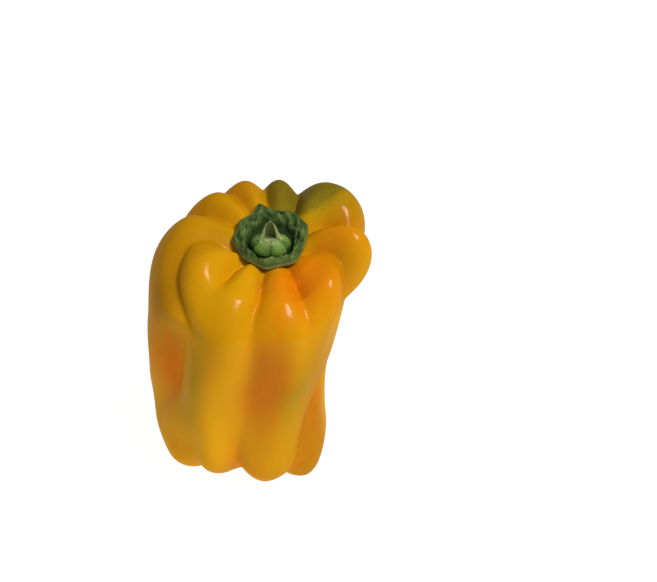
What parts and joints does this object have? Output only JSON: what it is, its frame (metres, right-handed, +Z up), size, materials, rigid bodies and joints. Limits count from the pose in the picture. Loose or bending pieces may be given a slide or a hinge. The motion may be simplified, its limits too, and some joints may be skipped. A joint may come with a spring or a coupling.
{
  "type": "bell pepper",
  "caption": "Blocky yellow bell pepper standing on its blossom-end lobes, with deep crown folds, a green calyx and a short broken stem stub.",
  "frame": {"origin": "centre of the bounding box at the base, level with the flat spots of the feet it stands on", "axes": "+Z up through the crown, -Y towards the front fold between the two front lobes, +X to the right seen from the front"},
  "size_m": [0.0885, 0.0841, 0.1115],
  "materials": {
    "skin": "smooth waxy skin, glossy, golden yellow with orange folds and faint green streaks",
    "calyx": "dark green, fleshy, ruffled, satin",
    "stem": "green ribbed stem with a pale fibrous cut face"
  },
  "bodies": {
    "root": {"fruit": "skin", "calyx": "calyx", "stem_stub": "stem"}
  },
  "joints": []
}
